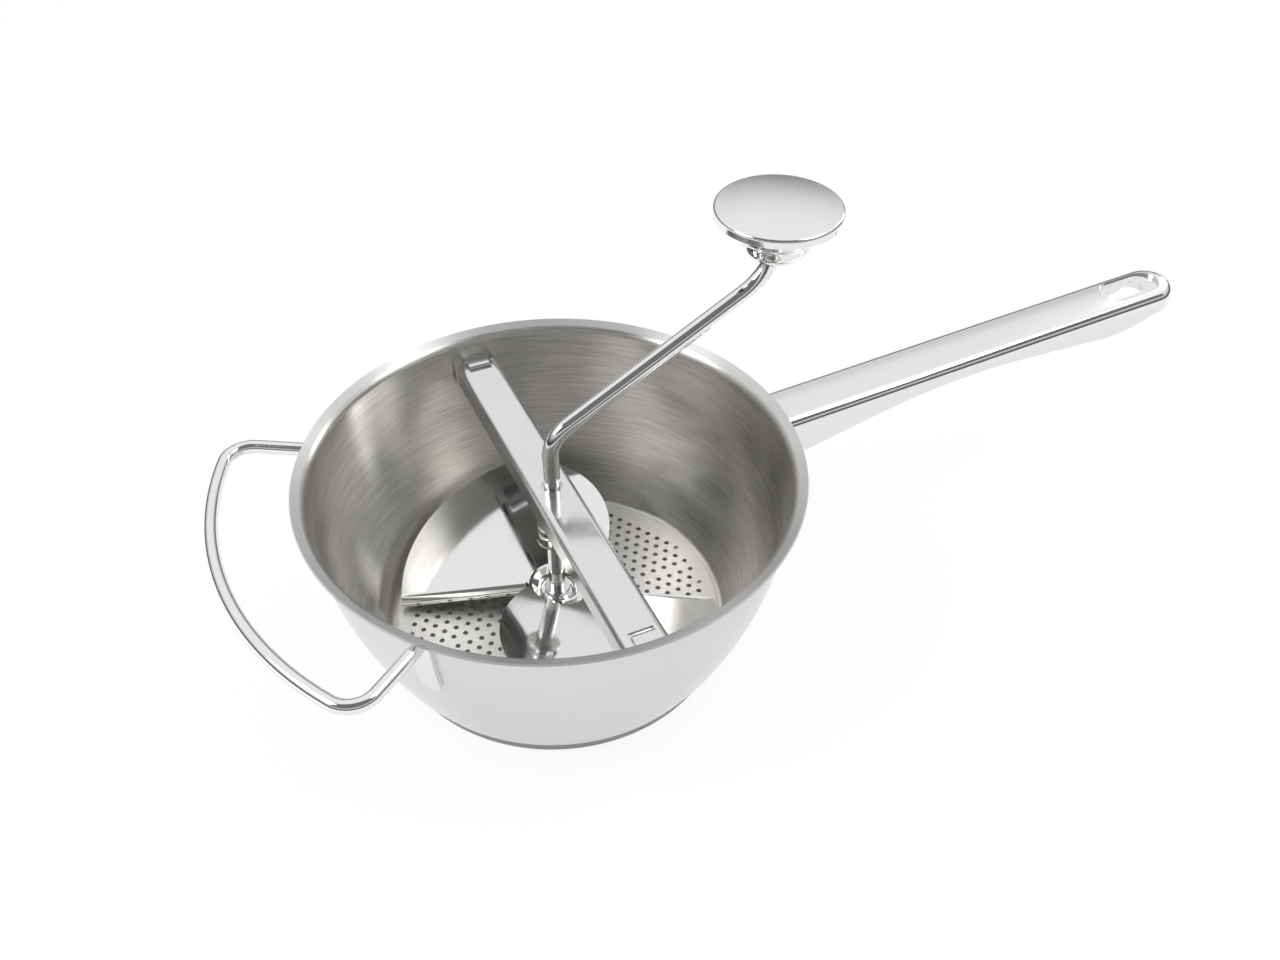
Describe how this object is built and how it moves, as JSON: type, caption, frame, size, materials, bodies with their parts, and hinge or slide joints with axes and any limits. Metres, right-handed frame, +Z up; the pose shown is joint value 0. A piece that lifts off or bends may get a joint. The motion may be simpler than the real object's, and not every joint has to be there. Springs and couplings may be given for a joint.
{
  "type": "rotary food mill",
  "caption": "Hand cranked stainless food mill with a perforated disc, a sprung crossbar, a turning blade, a long handle and a wire loop handle.",
  "frame": {"origin": "middle of the foot's bottom face, on the crank's axis", "axes": "+Z up along the crank's axis; +X along the long handle; Y along the crossbar"},
  "size_m": [0.459, 0.21, 0.1848],
  "materials": {
    "spun_steel": "brushed round the bowl's axis",
    "satin_steel": "satin",
    "handle_steel": "satin top, bright bends",
    "polished_wire": "polished stainless wire",
    "mirror_sheet": "mirror polished stainless sheet",
    "bar_steel": "bright pressed sheet",
    "sieve_steel": "fine satin, punched holes",
    "turned_steel": "turned",
    "spring_wire": "drawn wire",
    "knob_steel": "satin dome"
  },
  "bodies": {
    "root": {"bowl": "spun_steel", "foot_ring": "satin_steel", "long_handle": "handle_steel", "loop_handle": "polished_wire", "hook_front": "bar_steel", "hook_back": "bar_steel", "sieve_disc": "sieve_steel", "disc_bush": "turned_steel"},
    "bar": {"crossbar": "bar_steel", "upper_washer": "turned_steel"},
    "crank": {"crank_rod": "polished_wire", "blade": "mirror_sheet", "hub_collar": "turned_steel", "blade_pin": "turned_steel", "spring_pin": "turned_steel", "lower_washer": "turned_steel", "spring": "spring_wire", "knob_stop": "turned_steel", "knob_clip": "turned_steel"},
    "knob": {"knob_cap": "knob_steel", "knob_shell": "polished_wire", "knob_bush": "turned_steel"}
  },
  "joints": [
    {"name": "crank_turn", "type": "hinge", "parent": "root", "child": "crank", "pos_m": [0, 0, 0], "axis": [0, 0, 1], "continuous": true},
    {"name": "knob_spin", "type": "hinge", "parent": "crank", "child": "knob", "pos_m": [0.10272, 0.00754, 0.1724], "axis": [0, 0, 1], "continuous": true},
    {"name": "crossbar_press", "type": "slide", "parent": "root", "child": "bar", "axis": [0, 0, -1], "range_m": [0, 0.004], "stiffness_N_per_m": 2000, "springref_m": -0.01, "deforming": ["spring"]}
  ]
}
